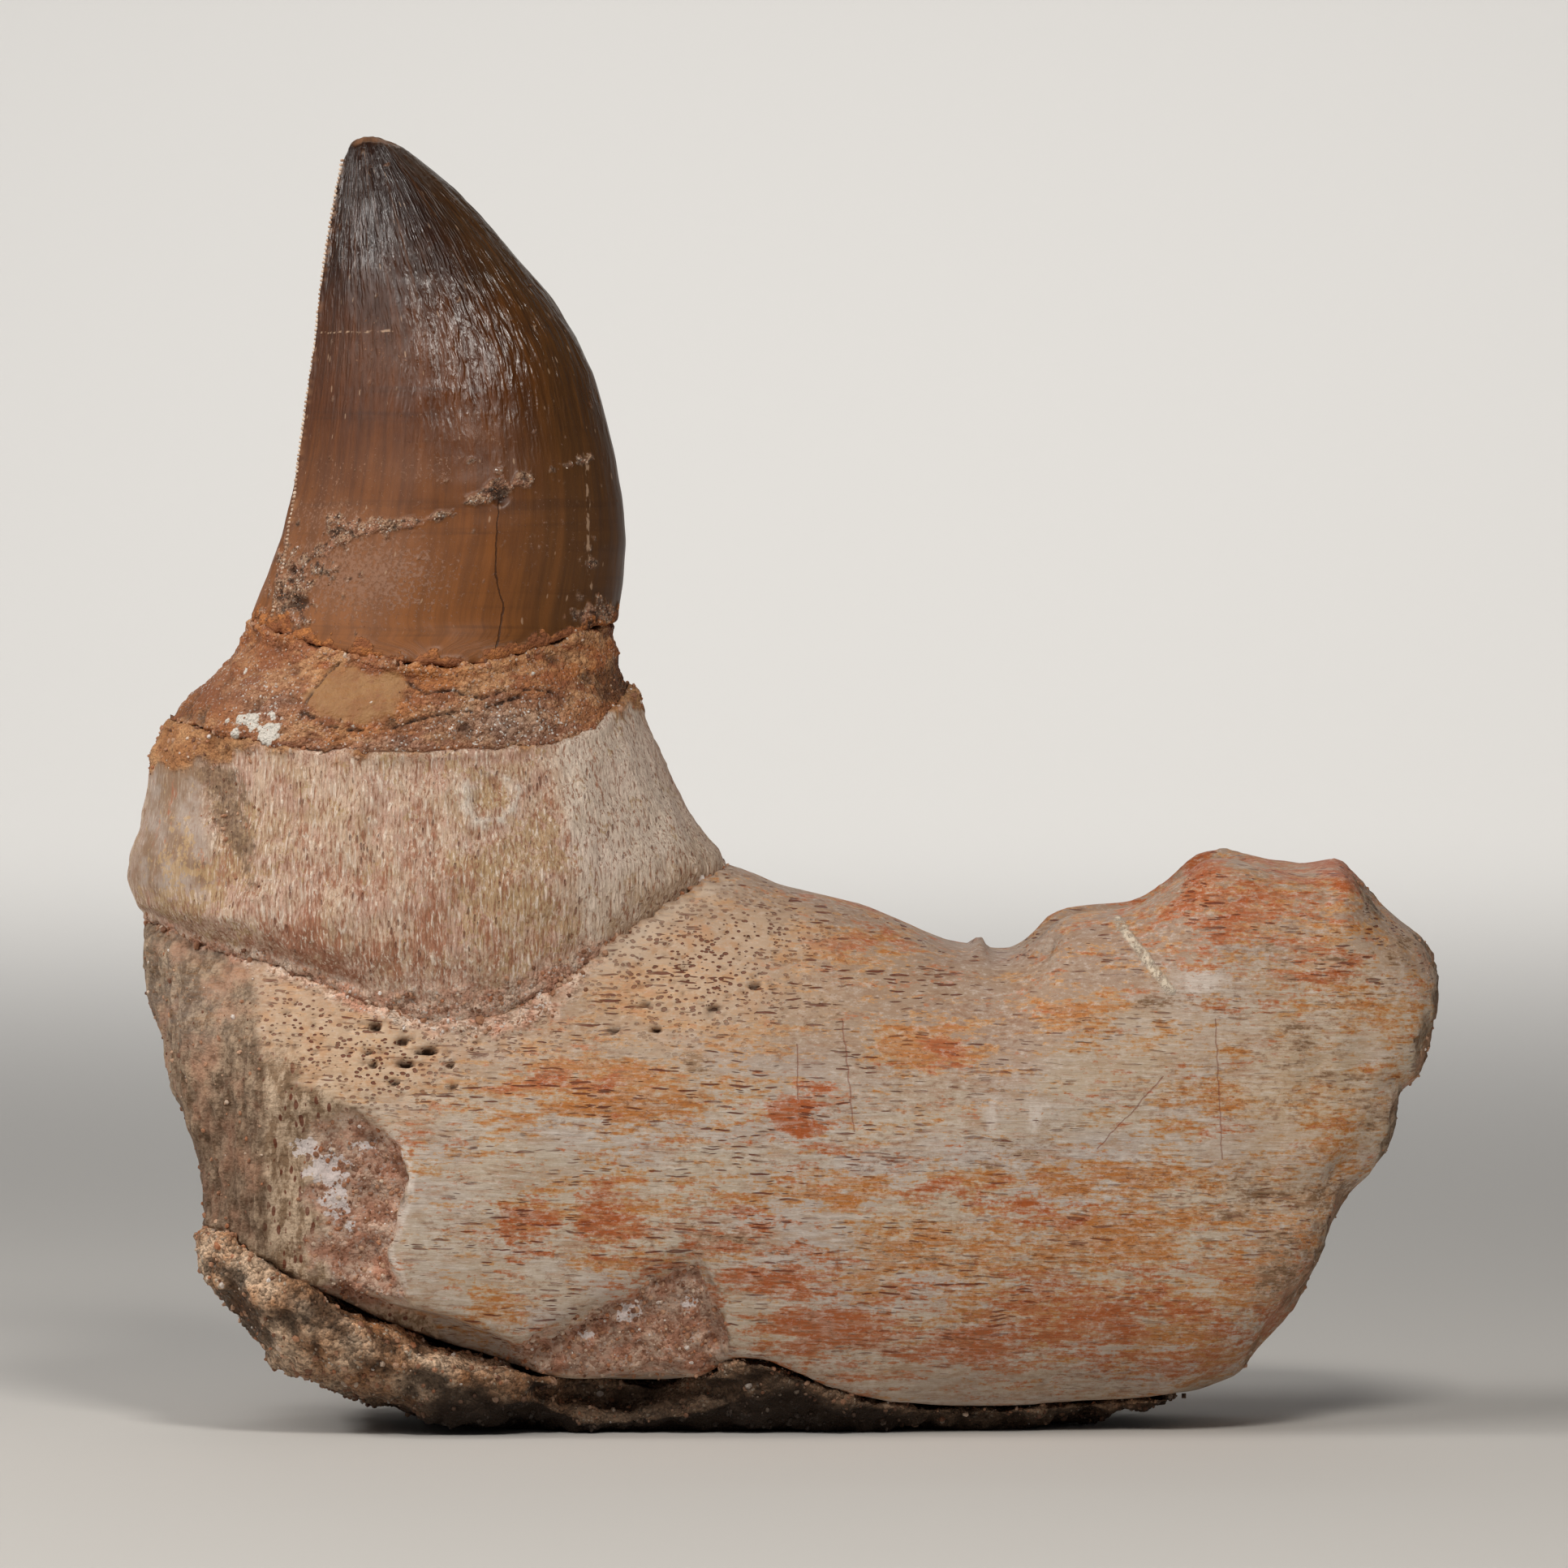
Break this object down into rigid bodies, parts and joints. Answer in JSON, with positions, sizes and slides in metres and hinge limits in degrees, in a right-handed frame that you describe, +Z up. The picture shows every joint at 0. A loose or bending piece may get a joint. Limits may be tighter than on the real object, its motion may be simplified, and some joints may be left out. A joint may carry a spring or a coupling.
{
  "type": "fossil jaw section with tooth",
  "caption": "Section of fossil jaw bone with a curved conical tooth rising from its swollen root, on a remnant of host stone.",
  "frame": {"origin": "centre of the object's overall box, on the plane of its flat underside", "axes": "+X along the jaw from the tooth towards the raised broken end, +Y from the outer face to the inner face, +Z up from the flat underside towards the tip of the tooth"},
  "size_m": [0.1212, 0.0408, 0.1194],
  "materials": {
    "tooth_crown": "dark brown enamel, finely ridged lengthwise, glossy and darker towards the worn tip",
    "neck_collar": "matt orange-brown sandy cement with a smooth pale patch and dark cracks",
    "tooth_root": "matt pinkish cream fossil bone with fine upright pores and streaks",
    "jaw_bone": "matt grey-cream fossil bone with lengthwise pores and orange and rust stains",
    "base_stone": "rough grainy brown phosphate stone"
  },
  "bodies": {
    "root": {"tooth_crown": "tooth_crown", "neck_collar": "neck_collar", "tooth_root": "tooth_root", "jaw_bone": "jaw_bone", "base_stone": "base_stone"}
  },
  "joints": []
}
